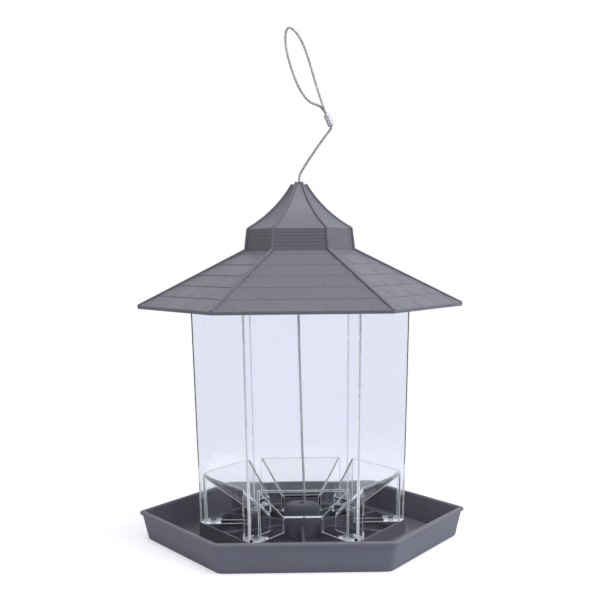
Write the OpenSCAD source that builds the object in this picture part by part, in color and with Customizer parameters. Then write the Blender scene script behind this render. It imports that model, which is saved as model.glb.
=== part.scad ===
// Hanging gravity seed feeder, in millimetres.
// A clear hopper stands on a six-sided tray and lets seed down through six feeding alcoves.
// A wire rope, stopped under the tray, carries everything. The roof slides up it for filling.

/* [Tray] */
// Corner radius of the tray at the widest part of its rim
rim_r = 108.7; // [88:0.1:132]
// Height of the rim above the base
rim_h = 19.2; // [16:0.1:30]
// How far the rim's bead stands out from the wall, at the corners
rim_lip = 1.8; // [1.4:0.1:3]
// Height of the rim's bead
rim_t = 2.5; // [1.5:0.1:3.5]
// How far the wall leans out from its foot to its top, at the corners
tray_draft = 3.7; // [0:0.1:8]
// Thickness of the tray's wall
tray_wall = 2; // [1.2:0.1:3]
// Thickness of the tray's floor
floor_t = 2.2; // [1.5:0.1:4]
// Rounding of the tray's upright corners
tray_round = 5; // [1:0.5:10]
// Thickness of the low wall that keeps the seed under the hopper
ring_t = 1.2; // [1:0.1:2.5]
// Height of the low wall, where the hopper stands
seat_h = 11; // [8:0.1:14]
// Thickness of the six radial ribs and of the webs under the corner seats
rib_t = 1.9; // [1.2:0.1:3]

/* [Boss] */
// Radius of the round boss at its foot
boss_r = 12.5; // [10.5:0.1:15]
// Radius of the boss at its shoulder
boss_top_r = 11.8; // [9.5:0.1:12.4]
// Rounding of the boss's shoulder
boss_shoulder = 3; // [1:0.1:3.5]
// Height of the boss above the base
boss_h = 24; // [18:0.1:30]
// Thickness of the boss's wall and crown
boss_wall = 2.5; // [1.5:0.1:3]

/* [Hopper] */
// Corner radius of the hopper at its feet
hopper_low_r = 67.9; // [56:0.1:82]
// Corner radius of the hopper at its top rim
hopper_top_r = 73.3; // [62:0.1:82]
// Height of the hopper's top rim above the tray's base
hopper_top = 169.6; // [130:0.1:220]
// Thickness of the hopper's walls
hopper_wall = 1.6; // [1.2:0.1:3]
// Rounding of the hopper's upright edges
hopper_round = 1; // [0.4:0.1:4]
// Width of each leg between two alcoves
leg_w = 12.8; // [10:0.1:18]
// Height of an alcove's mouth above the tray's base
alcove_high = 41.8; // [34:0.1:60]
// Height of an alcove's inner edge above the tray's base
alcove_low = 20.3; // [17:0.1:28]
// Distance from the middle to an alcove's inner edge
alcove_in = 33; // [28:0.5:38]
// Thickness of the plate that closes the foot of each leg
foot_t = 1.5; // [1:0.1:3]

/* [Seats] */
// Distance of a seat's peg from the hopper's corner, at its foot
peg_inset = 8.9; // [6.9:0.1:10.9]
// Radius of a peg
peg_r = 1.9; // [1.5:0.1:2.5]
// Gap round a peg in the hopper's foot
peg_gap = 0.15; // [0.1:0.05:0.4]
// How far a peg stands through the foot plate
peg_over = 1; // [0.4:0.1:2]

/* [Roof] */
// Corner radius of the roof at its eaves
eave_r = 107.5; // [89:0.1:130]
// Height of the upright lip round the eaves
eave_lip = 2.2; // [1:0.1:4]
// Rise of the roof for each millimetre towards the middle, along a corner
roof_slope = 0.5; // [0.4:0.01:0.6]
// Number of shingle courses
courses = 5; // [3:1:8]
// How far the lower edge of a course stands above the one below
course_step = 0.5; // [0.2:0.1:0.7]
// Thickness of the roof
roof_wall = 2; // [1.5:0.1:3]
// Width of the ribs along the roof's corners
hip_w = 2.2; // [1.2:0.1:4]
// How far those ribs stand out
hip_h = 0.8; // [0.6:0.1:1.5]

/* [Cupola and spire] */
// Corner radius of the cupola at its foot
cupola_r = 35.8; // [30:0.1:42]
// Corner radius of the cupola at its top
cupola_top_r = 34.4; // [28.5:0.1:40]
// Height of the cupola
cupola_h = 14.4; // [8:0.1:25]
// Height of the spire
spire_h = 28.7; // [22:0.1:40]
// Corner radius of the spire at its top
spire_top_r = 4.6; // [4:0.1:8]
// Radius of the hollow curve of the spire
spire_curve = 80; // [60:1:200]
// Radius of the notched collar on the spire
collar_r = 2.9; // [2.5:0.1:4]
// Height of the collar
collar_h = 1.7; // [1:0.1:4]
// Radius of the hole that the rope runs through
collar_hole_r = 1.6; // [1.3:0.1:2]

/* [Roof seats] */
// Distance of each locating rib from the middle of its side
locator_at = 15; // [8:1:24]
// How far the locating ribs reach down into the hopper
locator_drop = 6; // [3:0.5:12]
// Thickness of a locating rib
locator_t = 1.6; // [1:0.1:3]
// Gap between a locating rib and the hopper's wall
locator_gap = 0.4; // [0.2:0.1:1]

/* [Rope] */
// Diameter of the wire rope
rope_d = 1.6; // [1.2:0.1:2]
// Radius of the hole that the rope leaves the boss by
rope_hole_r = 2.4; // [2.2:0.1:3.5]
// Gap between the rope and the side of that hole
rope_gap = 0.2; // [0.1:0.1:0.5]
// Room round the washer under the boss's crown
washer_gap = 1.9; // [0.5:0.1:2.5]
// Thickness of the washer
washer_t = 1; // [0.6:0.1:1.5]
// Radius of the sleeve pressed on the rope's lower end
stop_r = 2.1; // [1.6:0.1:3]
// Length of the sleeve
stop_h = 7; // [4:0.5:9]
// Width of the oval sleeve that closes the loop
ferrule_w = 4.2; // [3:0.1:6]
// Depth of the oval sleeve, across its two strands
ferrule_d = 5.4; // [5:0.1:8]

/* [Hidden] */
eps = 0.01;
plastic = "#74757f";
clear = [0.86, 0.88, 0.92, 0.4];
steel = "#8c8c8c";
aluminium = "#b9bac6";

// Tray
tray_r = rim_r - rim_lip;
base_r = tray_r - tray_draft;
base_round = 2;
rim_ease = 0.8;
ring_r = hopper_low_r + 0.6;

// Seats: the feet stand on the ring, and the shelves inside it carry the pegs
seat_t = 2;
seat_drop = 0.2;
rib_drop = 0.4;
peg_at = hopper_low_r - peg_inset;
seat_in = peg_at - peg_r - 3;
peg_hole_r = peg_r + peg_gap;

// Hopper
leg_half = leg_w / 2;
alcove_rise = (alcove_high - alcove_low) / (flat(hopper_low_r) - alcove_in);
hopper_lean = flat(hopper_top_r - hopper_low_r) / (hopper_top - seat_h);
mouth_run = 12;

// Roof: the locating ribs hold it on the hopper's rim
shell_drop = roof_wall * sqrt(1 + pow(roof_slope / cos(30), 2));
seat_bite = 0.6;
roof_seat_r = hopper_top_r + 0.8;
eave_top = hopper_top + seat_bite + shell_drop - roof_slope * (eave_r - roof_seat_r);
eave_z = eave_top - eave_lip;
cupola_z = eave_top + roof_slope * (eave_r - cupola_r);
spire_z = cupola_z + cupola_h;
spire_r = cupola_top_r - 0.6;
spire_top = spire_z + spire_h;
notches = 6;
notch_w = 1.3;
notch_h = 1;

// Rope: the route's points, bottom to top, then round the loop and back into its sleeve
rope_r = rope_d / 2;
rope_x = rope_hole_r - rope_r - rope_gap;
washer_r = boss_top_r - boss_wall - rope_x - washer_gap;
rope_top = spire_top + collar_h;
stop_z = boss_h - boss_wall - washer_t - stop_h;
sag = [[1.2, 0.051], [0.6, 0.133], [-0.1, 0.308], [-0.8, 0.478], [-1.2, 0.596], [-1.3, 0.683],
       [-1, 0.811], [-0.4, 0.914], [0.3, 1]];
sag_low = boss_h + 8;
sag_high = spire_top - 8;
inside_route = concat(
    [[rope_x, 0, stop_z], [rope_x, 0, boss_h], [rope_x, 0, sag_low]],
    [for (s = sag) [s[0], 0, sag_low + s[1] * (sag_high - sag_low)]],
    [[0.3, 0, rope_top]]
);
outside_route = [
    [0.3, 0, 0], [0.3, 0, 3], [1, 0, 5.5], [4, 0, 10.5], [9, 0, 18], [14, 0.2, 25],
    [18.5, 0.6, 31], [21, 0.9, 34.3], [21.6, 0.9, 36.5], [20, 0.9, 40.2], [18.4, 0.9, 43.9],
    [17.3, 0.9, 46], [15.4, 0.9, 48.5], [12.5, 0.6, 50.4], [8.7, 0.2, 51.8], [5, 0, 55],
    [1, 0, 61], [-2.5, 0, 69], [-5.5, 0, 78.5], [-7.5, 0, 87], [-8, 0, 94.5], [-7.2, 0, 99.3],
    [-5.2, 0, 101], [-2.6, 0, 99.5], [1, 0, 95], [4.5, 0, 87.7], [8, 0, 77.2], [11, 0, 66.5],
    [14.3, -0.4, 55.8], [16.6, -0.9, 48.5], [18.4, -0.9, 43.9], [20, -0.9, 40.2],
    [21.4, -0.9, 36.9]
];
strand_gap = 1.8;
ferrule_low = [21.6, 0, 36.5];
ferrule_high = [18.4, 0, 43.9];

// Corner radius to the distance of a flat side, and back
function flat(r) = r * cos(30);
function corner(a) = a / cos(30);
function polar(r, a) = [r * cos(a), r * sin(a)];

// Outline of a hexagon of corner radius r, with its corners rounded to radius c
function hex_outline(r, c, n = 4) =
    [for (k = [0:5], i = [0:n]) polar(r - corner(c), 60 * k) + polar(c, 60 * k - 30 + 60 * i / n)];

// Solid through hexagons of [height, corner radius], all with the same corner rounding
module loft(levels, c) {
    rings = [for (l = levels) hex_outline(l[1], c)];
    n = len(rings[0]);
    m = len(levels);
    polyhedron(
        points = [for (j = [0:m - 1], p = rings[j]) [p.x, p.y, levels[j][0]]],
        faces = concat(
            [[for (i = [0:n - 1]) i]],
            [[for (i = [n - 1:-1:0]) (m - 1) * n + i]],
            [for (j = [0:m - 2], i = [0:n - 1])
                [j * n + i, (j + 1) * n + i, (j + 1) * n + (i + 1) % n, j * n + (i + 1) % n]]
        )
    );
}

// Plain hexagonal prism, corners on the X axis
module hex_prism(r, z0, z1) {
    translate([0, 0, z0]) cylinder(r = r, h = z1 - z0, $fn = 6);
}

// ---- Tray

tray_outside = concat(
    [for (a = [0:30:90]) [base_round * (1 - cos(a)), base_r - base_round * (1 - sin(a))]],
    [[rim_h - rim_t, tray_r]],
    [for (a = [-90:30:90])
        [rim_h + rim_t / 2 * (sin(a) - 1) + (a == -90 ? eps : 0), rim_r + rim_t / 2 * (cos(a) - 1)]]
);

tray_inside = [
    [floor_t, base_r - corner(tray_wall)],
    [rim_h - rim_ease, tray_r - corner(tray_wall)],
    [rim_h, tray_r - corner(tray_wall) + rim_ease],
    [rim_h + 1, tray_r - corner(tray_wall) + rim_ease]
];

module seed_ring() {
    difference() {
        hex_prism(ring_r, floor_t - 0.5, seat_h);
        hex_prism(ring_r - corner(ring_t), floor_t, seat_h + 1);
    }
}

module radial_ribs() {
    start = boss_r - 1.5;
    for (k = [0:5])
        rotate(60 * k + 30)
            translate([start, -rib_t / 2, floor_t - 0.5])
                cube([flat(ring_r) - ring_t / 2 - start, rib_t, seat_h - rib_drop - floor_t + 0.5]);
}

module corner_seats() {
    length = ring_r - seat_in;
    intersection() {
        hex_prism(ring_r - ring_t / 2, floor_t - 0.5, seat_h);
        for (k = [0:5])
            rotate(60 * k) {
                translate([seat_in, -leg_half, seat_h - seat_drop - seat_t])
                    cube([length, leg_w, seat_t]);
                translate([seat_in, -rib_t / 2, floor_t - 0.5])
                    cube([length, rib_t, seat_h - seat_drop - seat_t / 2 - floor_t + 0.5]);
            }
    }
    for (k = [0:5])
        rotate(60 * k)
            translate([peg_at, 0, seat_h - seat_drop - seat_t / 2])
                cylinder(r = peg_r, h = seat_drop + seat_t / 2 + foot_t + peg_over, $fn = 32);
}

module boss() {
    rotate_extrude($fn = 96)
        polygon([
            [0, floor_t - 0.5], [boss_r, floor_t - 0.5], [boss_r, floor_t],
            [boss_top_r, boss_h - boss_shoulder],
            for (a = [15:15:90])
                [boss_top_r - boss_shoulder * (1 - cos(a)), boss_h - boss_shoulder * (1 - sin(a))],
            [0, boss_h]
        ]);
}

module tray() {
    color(plastic)
        difference() {
            union() {
                difference() {
                    loft(tray_outside, tray_round);
                    loft(tray_inside, tray_round - tray_wall / 2);
                }
                seed_ring();
                radial_ribs();
                corner_seats();
                boss();
            }
            translate([0, 0, -1])
                cylinder(r1 = boss_r - boss_wall, r2 = boss_top_r - boss_wall,
                         h = boss_h - boss_wall + 1, $fn = 96);
            translate([0, 0, boss_h - boss_wall - 1])
                cylinder(r = rope_hole_r, h = boss_wall + 2, $fn = 48);
        }
}

// ---- Hopper

// Plan of an alcove, facing +X: between two legs, each thinned by inset
module alcove_plan(inset, out) {
    function half(x) = x * tan(30) - (leg_half - inset) / cos(30);
    polygon([[alcove_in, -half(alcove_in)], [out, -half(out)], [out, half(out)],
             [alcove_in, half(alcove_in)]]);
}

// An alcove's space, its sloping ceiling raised by lift
module alcove_space(inset, lift, z0, out) {
    function ceiling(x) = alcove_low + lift + alcove_rise * (x - alcove_in);
    intersection() {
        translate([0, 0, z0])
            linear_extrude(ceiling(out) - z0) alcove_plan(inset, out);
        rotate([90, 0, 0])
            linear_extrude(2 * out, center = true)
                polygon([[alcove_in, z0], [out, z0], [out, ceiling(out)], [alcove_in, ceiling(alcove_in)]]);
    }
}

module hopper_envelope(inset) {
    loft([[seat_h - inset, hopper_low_r - corner(inset)],
          [hopper_top + inset, hopper_top_r - corner(inset)]], hopper_round);
}

module leg_feet() {
    for (k = [0:5])
        rotate(60 * k)
            translate([seat_in, -leg_half, seat_h]) cube([ring_r, leg_w, foot_t]);
}

module hopper() {
    out = flat(hopper_low_r) + mouth_run;
    ceiling_lift = hopper_wall * sqrt(1 + pow(alcove_rise, 2));
    color(clear)
        difference() {
            union() {
                difference() {
                    hopper_envelope(0);
                    hopper_envelope(hopper_wall);
                }
                intersection() {
                    hopper_envelope(0);
                    union() {
                        for (k = [0:5])
                            rotate(60 * k + 30)
                                alcove_space(hopper_wall, ceiling_lift, seat_h, out);
                        leg_feet();
                    }
                }
            }
            for (k = [0:5]) {
                rotate(60 * k + 30) alcove_space(0, 0, seat_h - 1, out);
                rotate(60 * k)
                    translate([peg_at, 0, seat_h - 1])
                        cylinder(r = peg_hole_r, h = foot_t + 2, $fn = 32);
            }
        }
}

// ---- Roof

// Points of the spire's hollow curve, from its foot to its top, moved out by grow
function spire_arc(grow, n = 10) =
    let (a = [spire_r, spire_z], b = [spire_top_r, spire_top],
         half = norm(b - a) / 2,
         across = [b.y - a.y, a.x - b.x] / (2 * half),
         centre = (a + b) / 2 + across * sqrt(pow(spire_curve, 2) - pow(half, 2)),
         start = atan2(a.y - centre.y, a.x - centre.x),
         turn = 2 * asin(half / spire_curve))
    [for (i = [0:n]) centre + polar(spire_curve - grow, start - turn * i / n)];

function slope_z(r) = eave_top + roof_slope * (eave_r - r);

// Stepped line of the shingles, eave to cupola
course_run = (eave_r - cupola_r) / (courses + 0.35);
shingle_line = [for (i = [0:courses], side = [0, 1])
    let (r = max(cupola_r, eave_r - course_run * (i + side)))
    [r, slope_z(r) - (side == 1 ? course_step : 0)]];

module roof_shell() {
    inner_r = cupola_r - corner(roof_wall);
    inner_eave = eave_r - corner(roof_wall);
    inner_spire = [for (p = spire_arc(-corner(roof_wall))) if (p.x > collar_hole_r + 1.5) p];
    inner_top = inner_spire[len(inner_spire) - 1];
    rotate_extrude($fn = 6)
        polygon(concat(
            [[eave_r, eave_z]],
            shingle_line,
            [[cupola_r, cupola_z], [cupola_top_r, spire_z - 0.6], [spire_r, spire_z]],
            spire_arc(0),
            [[0, spire_top], [0, inner_top.y]],
            [for (i = [len(inner_spire) - 1:-1:1]) inner_spire[i]],
            [[cupola_top_r - corner(roof_wall), spire_z - roof_wall],
             [inner_r, slope_z(inner_r) - shell_drop],
             [inner_eave, slope_z(inner_eave) - shell_drop], [inner_eave, eave_z]]
        ));
}

module hip_ribs() {
    root = 1.2;
    line = concat([[eave_r - eps, eave_z], [eave_r - eps, slope_z(eave_r) + hip_h / 2],
                   [eave_r - 1, slope_z(eave_r - 1) + hip_h],
                   [cupola_r + hip_h, slope_z(cupola_r + hip_h) + hip_h],
                   [cupola_top_r + hip_h, spire_z]],
                  spire_arc(hip_h));
    inward = [for (p = spire_arc(-root)) if (p.x > collar_hole_r + 0.5) p];
    top = len(inward) - 1;
    for (k = [0:5])
        rotate(60 * k)
            rotate([90, 0, 0])
                linear_extrude(hip_w, center = true)
                    polygon(concat(
                        line,
                        [[inward[top].x, spire_top]],
                        [for (i = [top:-1:1]) inward[i]],
                        [[cupola_top_r - root, spire_z - root], [cupola_r - root, cupola_z - root],
                         [eave_r - root, slope_z(eave_r - root) - root], [eave_r - root, eave_z]]
                    ));
}

module locating_ribs() {
    inner = flat(hopper_top_r) - hopper_wall - locator_gap;
    tip = inner - max(0, hopper_lean) * locator_drop;
    outer = flat(roof_seat_r);
    deep = 4;
    function under(x) = slope_z(corner(x)) - shell_drop + seat_bite;
    for (k = [0:5], side = [-1, 1])
        rotate(60 * k + 30)
            translate([0, side * locator_at, 0])
                rotate([90, 0, 0])
                    linear_extrude(locator_t, center = true)
                        polygon([
                            [inner - deep, under(inner - deep)], [inner - deep, hopper_top],
                            [tip - 2, hopper_top - locator_drop],
                            [tip, hopper_top - locator_drop], [inner, hopper_top],
                            [outer, hopper_top], [outer, under(outer)]
                        ]);
}

module roof() {
    color(plastic)
        difference() {
            union() {
                roof_shell();
                hip_ribs();
                locating_ribs();
                translate([0, 0, spire_top - 1])
                    cylinder(r = collar_r, h = collar_h + 1, $fn = 48);
            }
            translate([0, 0, spire_top - 20]) cylinder(r = collar_hole_r, h = 30, $fn = 48);
            for (k = [0:notches - 1])
                rotate(k * 360 / notches)
                    translate([0, -notch_w / 2, rope_top - notch_h])
                        cube([collar_r + 1, notch_w, notch_h + 1]);
        }
}

// ---- Rope

// Smooth curve through the points, with n steps between each two
function between(a, b, c, d, t) =
    0.5 * (2 * b + (c - a) * t + (2 * a - 5 * b + 4 * c - d) * t * t
           + (3 * b - a - 3 * c + d) * t * t * t);
function smooth(p, n) = concat(
    [for (i = [0:len(p) - 2], j = [0:n - 1])
        between(p[max(i - 1, 0)], p[i], p[i + 1], p[min(i + 2, len(p) - 1)], j / n)],
    [p[len(p) - 1]]);

// Eight-sided tube swept along a route that stays near the XZ plane
module tube(route, r, sides = 8) {
    m = len(route);
    function along(i) = let (d = route[min(i + 1, m - 1)] - route[max(i - 1, 0)]) d / norm(d);
    function aside(i) = let (c = cross(along(i), [0, 1, 0])) c / norm(c);
    ring = [for (i = [0:m - 1]) let (u = aside(i), v = cross(along(i), u))
        [for (s = [0:sides - 1]) route[i] + r * (u * cos(360 * s / sides) + v * sin(360 * s / sides))]];
    polyhedron(
        points = [for (i = [0:m - 1], p = ring[i]) p],
        faces = concat(
            [[for (s = [0:sides - 1]) s]],
            [[for (s = [sides - 1:-1:0]) (m - 1) * sides + s]],
            [for (i = [0:m - 2], s = [0:sides - 1])
                [i * sides + s, (i + 1) * sides + s,
                 (i + 1) * sides + (s + 1) % sides, i * sides + (s + 1) % sides]]
        )
    );
}

module rope_inside() {
    color(steel) tube(smooth(inside_route, 2), rope_r);
}

module rope_outside() {
    color(steel) translate([0, 0, rope_top]) tube(smooth(outside_route, 2), rope_r);
}

// Oval sleeve pressed round both strands at the foot of the loop
module loop_ferrule() {
    axis = ferrule_high - ferrule_low;
    module oval(w, d) {
        square([w, d - w], center = true);
        for (side = [-1, 1]) translate([0, side * (d - w) / 2]) circle(d = w, $fn = 48);
    }
    color(aluminium)
        translate([0, 0, rope_top])
            translate(ferrule_low)
                rotate([0, atan2(axis.x, axis.z), 0])
                    linear_extrude(norm(axis))
                        difference() {
                            oval(ferrule_w, ferrule_d);
                            oval(rope_d, strand_gap + rope_d);
                        }
}

// Round sleeve pressed on the rope's lower end, inside the boss
module stop_ferrule() {
    color(aluminium)
        translate([rope_x, 0, stop_z])
            difference() {
                cylinder(r = stop_r, h = stop_h, $fn = 48);
                translate([0, 0, -1]) cylinder(r = rope_r, h = stop_h + 2, $fn = 48);
            }
}

module stop_washer() {
    color(steel)
        translate([rope_x, 0, stop_z + stop_h])
            difference() {
                cylinder(r = washer_r, h = washer_t, $fn = 64);
                translate([0, 0, -1]) cylinder(r = rope_r + 0.3, h = washer_t + 2, $fn = 48);
            }
}

tray();
hopper();
roof();
rope_inside();
rope_outside();
loop_ferrule();
stop_ferrule();
stop_washer();
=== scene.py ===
"""Looks of a hanging gravity seed feeder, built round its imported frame.

A slate grey tray and a shingled roof, a clear hopper between them, and the wire rope that
carries all three. Everything is in metres, with the feeder standing at the origin and its
front towards -Y.
"""

import math

import bmesh
import bpy
from bpy.props import FloatProperty, FloatVectorProperty, IntProperty, PointerProperty
from mathutils import Matrix, Vector


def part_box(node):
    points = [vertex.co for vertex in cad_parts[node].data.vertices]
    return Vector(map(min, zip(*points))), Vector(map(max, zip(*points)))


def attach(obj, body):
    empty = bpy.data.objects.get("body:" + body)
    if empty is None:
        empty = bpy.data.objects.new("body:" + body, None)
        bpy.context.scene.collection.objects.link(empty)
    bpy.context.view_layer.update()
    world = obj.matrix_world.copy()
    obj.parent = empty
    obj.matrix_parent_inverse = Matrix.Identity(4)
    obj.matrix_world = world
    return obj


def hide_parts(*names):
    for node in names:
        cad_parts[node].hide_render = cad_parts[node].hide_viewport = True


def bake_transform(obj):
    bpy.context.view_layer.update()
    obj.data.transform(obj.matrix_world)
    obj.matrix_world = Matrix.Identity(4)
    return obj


bl_info = {
    "name": "Hanging Seed Feeder",
    "version": (1, 0, 0),
    "blender": (4, 5, 0),
    "location": "View3D > Sidebar > Feeder",
    "description": "Builds the looks of a hanging gravity seed feeder round its packed frame",
    "category": "Object",
}

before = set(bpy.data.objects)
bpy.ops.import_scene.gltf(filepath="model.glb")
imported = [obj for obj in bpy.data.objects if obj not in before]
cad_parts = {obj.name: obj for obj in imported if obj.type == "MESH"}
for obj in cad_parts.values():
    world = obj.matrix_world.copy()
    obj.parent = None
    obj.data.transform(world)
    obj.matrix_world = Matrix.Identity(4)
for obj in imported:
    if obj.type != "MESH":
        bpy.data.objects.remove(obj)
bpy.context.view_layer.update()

MM = 0.001
SIDES = 6
SECTOR = 2 * math.pi / SIDES
HOPPER_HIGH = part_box("hopper")[1]
ROOF_LOW, ROOF_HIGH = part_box("roof")
ROPE_TOP = ROOF_HIGH[2]

# The rope's route inside the feeder, from the stop up to the collar: x and height
INSIDE_ROUTE = [
    (1.4, 13.5), (1.4, 24), (1.4, 32), (1.2, 42), (0.6, 58), (-0.1, 92), (-0.8, 125),
    (-1.2, 148), (-1.3, 165), (-1, 190), (-0.4, 210), (0.3, 226.75), (0.3, 236.45),
]
# The free end, from the collar's top through the ferrule, round the loop and back into it
OUTSIDE_ROUTE = [
    (0.3, 0, 0), (0.3, 0, 3), (1, 0, 5.5), (4, 0, 10.5), (9, 0, 18), (14, 0.2, 25),
    (18.5, 0.6, 31), (21, 0.9, 34.3), (21.6, 0.9, 36.5), (20, 0.9, 40.2), (18.4, 0.9, 43.9),
    (17.3, 0.9, 46), (15.4, 0.9, 48.5), (12.5, 0.6, 50.4), (8.7, 0.2, 51.8), (5, 0, 55),
    (1, 0, 61), (-2.5, 0, 69), (-5.5, 0, 78.5), (-7.5, 0, 87), (-8, 0, 94.5), (-7.2, 0, 99.3),
    (-5.2, 0, 101), (-2.6, 0, 99.5), (1, 0, 95), (4.5, 0, 87.7), (8, 0, 77.2), (11, 0, 66.5),
    (14.3, -0.4, 55.8), (16.6, -0.9, 48.5), (18.4, -0.9, 43.9), (20, -0.9, 40.2),
    (21.4, -0.9, 36.9),
]
# Ends of the sleeve that closes the loop
FERRULE_LOW = Vector((21.6 * MM, 0, ROPE_TOP + 36.5 * MM))
FERRULE_HIGH = Vector((18.4 * MM, 0, ROPE_TOP + 43.9 * MM))


# ---------------------------------------------------------------------------------------
# Settings
# ---------------------------------------------------------------------------------------

def length(name, description, default, low=0.0, high=1.0):
    """A length property in metres."""
    return FloatProperty(name=name, description=description, default=default, min=low,
                         max=high, precision=5, unit="LENGTH", subtype="DISTANCE")


def colour(name, description, default):
    """A linear colour property."""
    return FloatVectorProperty(name=name, description=description, default=default, size=3,
                               min=0.0, max=1.0, subtype="COLOR")


class FeederRoofSettings(bpy.types.PropertyGroup):
    """Sizes of the roof"""
    courses: IntProperty(name="Courses", description="Courses of shingles", default=5, min=1)
    tile_width: length("Tile width", "Width of one shingle", 27 * MM)
    joint_width: length("Joint width", "Gap between two shingles", 0.9 * MM)
    course_step: length("Course step", "How far a course stands over the next", 0.5 * MM)
    slope: FloatProperty(name="Slope", description="Rise for each metre inwards at a corner",
                         default=0.5, min=0.0, max=2.0)
    eave_lip: length("Eave lip", "Height of the upright lip at the eaves", 2.2 * MM)
    wall: length("Wall", "Thickness of the roof", 2.0 * MM)
    cupola_radius: length("Cupola radius", "Corner radius at the cupola's foot", 35.8 * MM)
    cupola_top: length("Cupola top", "Corner radius at the cupola's top", 34.4 * MM)
    cupola_height: length("Cupola height", "Height of the cupola", 14.4 * MM)
    boards: IntProperty(name="Boards", description="Boards round the cupola", default=6, min=1)
    board_step: length("Board step", "Depth of the lines between boards", 0.12 * MM)
    spire_height: length("Spire height", "Height of the spire", 28.7 * MM)
    spire_top: length("Spire top", "Corner radius at the spire's top", 4.6 * MM)
    spire_curve: length("Spire curve", "Radius of the spire's hollow curve", 80 * MM)
    hip_width: length("Hip width", "Width of the ribs on the corners", 2.2 * MM)
    hip_height: length("Hip height", "How far those ribs stand out", 0.8 * MM)
    collar_radius: length("Collar radius", "Radius of the collar", 2.9 * MM)
    collar_hole: length("Collar hole", "Radius of the hole for the rope", 1.6 * MM)


class FeederRopeSettings(bpy.types.PropertyGroup):
    """Sizes of the wire rope and its fittings"""
    diameter: length("Diameter", "Diameter of the wire rope", 1.6 * MM)
    strands: IntProperty(name="Strands", description="Strands in the rope", default=6, min=3)
    lay: length("Lay", "Length of one turn of a strand", 11 * MM)
    ring_step: length("Ring step", "Spacing of the rings along the rope", 0.7 * MM)
    ferrule_width: length("Ferrule width", "Width of the oval sleeve", 4.2 * MM)
    ferrule_depth: length("Ferrule depth", "Depth across its two strands", 5.4 * MM)


class FeederFinishSettings(bpy.types.PropertyGroup):
    """Colours and finishes"""
    plastic: colour("Plastic", "Slate grey of the tray and roof", (0.183, 0.184, 0.227))
    clear: colour("Clear plastic", "Tint of one wall of the hopper", (0.955, 0.962, 0.978))
    # Painted light: strength of an emission glow on the hopper's edges, which are no lamp; it
    # stands in for light the walls would guide to them.
    painted_edge_glow: FloatProperty(name="Edge glow", default=0.18, min=0.0,
                             description="Light that the clear walls guide to their edges")
    zinc: colour("Zinc", "Colour of the washer", (0.62, 0.62, 0.64))
    steel: colour("Rope steel", "Colour of the wire", (0.54, 0.54, 0.53))
    aluminium: colour("Aluminium", "Colour of the pressed sleeves", (0.62, 0.62, 0.7))
    edge_ease: length("Edge ease", "Rounding of moulded edges", 0.2 * MM)
    clear_ease: length("Clear ease", "Rounding of the hopper's edges", 0.3 * MM)


class FeederStageSettings(bpy.types.PropertyGroup):
    """Camera and light"""
    lens: FloatProperty(name="Lens", description="Focal length", default=70.58, unit="CAMERA")
    camera_place: FloatVectorProperty(name="Camera", description="Where the camera stands",
                                      default=(-0.0111, -0.7783, 0.1893), size=3,
                                      subtype="TRANSLATION")
    camera_turn: FloatProperty(name="Turn", description="Camera's turn to the right",
                               default=math.radians(0.81), subtype="ANGLE")
    camera_tilt: FloatProperty(name="Tilt", description="Camera's tilt down",
                               default=math.radians(2.27), subtype="ANGLE")
    camera_roll: FloatProperty(name="Roll", description="Camera's roll",
                               default=math.radians(0.55), subtype="ANGLE")
    backdrop: FloatProperty(name="Backdrop", description="Brightness of the backdrop",
                            default=1.0, min=0.0)
    cyclorama: FloatProperty(name="Cyclorama", description="Light from behind, low down",
                             default=1.0, min=0.0)
    ambient: FloatProperty(name="Ambient", description="Light from all round", default=0.25,
                           min=0.0)
    clear_ambient: FloatProperty(name="Clear ambient", default=0.85, min=0.0,
                                 description="Light that the clear edges pick up")
    behind_clear: colour("Behind clear", "Backdrop colour through the hopper",
                         (0.86, 0.88, 1.0))
    key_power: FloatProperty(name="Key", description="Power of the overhead light",
                             default=13.0, min=0.0)
    side_power: FloatProperty(name="Side", description="Power of the light at the right",
                              default=4.0, min=0.0)
    strip_power: FloatProperty(name="Strips", description="Power of each strip light in front",
                               default=3.5, min=0.0)
    floor_radius: length("Floor radius", "Radius of the round floor", 0.55, high=5.0)


# ---------------------------------------------------------------------------------------
# Mesh helpers
# ---------------------------------------------------------------------------------------

def link(name, data):
    """New object at the origin."""
    obj = bpy.data.objects.new(name, data)
    bpy.context.scene.collection.objects.link(obj)
    return obj


def shade(mesh, sharp=math.radians(32)):
    """Smooth faces, with edges over the given angle kept crisp."""
    bm = bmesh.new()
    bm.from_mesh(mesh)
    for face in bm.faces:
        face.smooth = True
    for edge in bm.edges:
        edge.smooth = not (edge.is_manifold and edge.calc_face_angle(0.0) > sharp)
    bm.to_mesh(mesh)
    bm.free()


def mesh_from(bm, name, outward=True):
    """Finished mesh data: doubles merged, faces outward, crisp edges marked."""
    bmesh.ops.remove_doubles(bm, verts=bm.verts, dist=1e-6)
    bmesh.ops.dissolve_degenerate(bm, edges=bm.edges, dist=1e-7)
    if outward:
        bmesh.ops.recalc_face_normals(bm, faces=bm.faces)
    mesh = bpy.data.meshes.new(name)
    bm.to_mesh(mesh)
    bm.free()
    shade(mesh)
    return mesh


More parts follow.
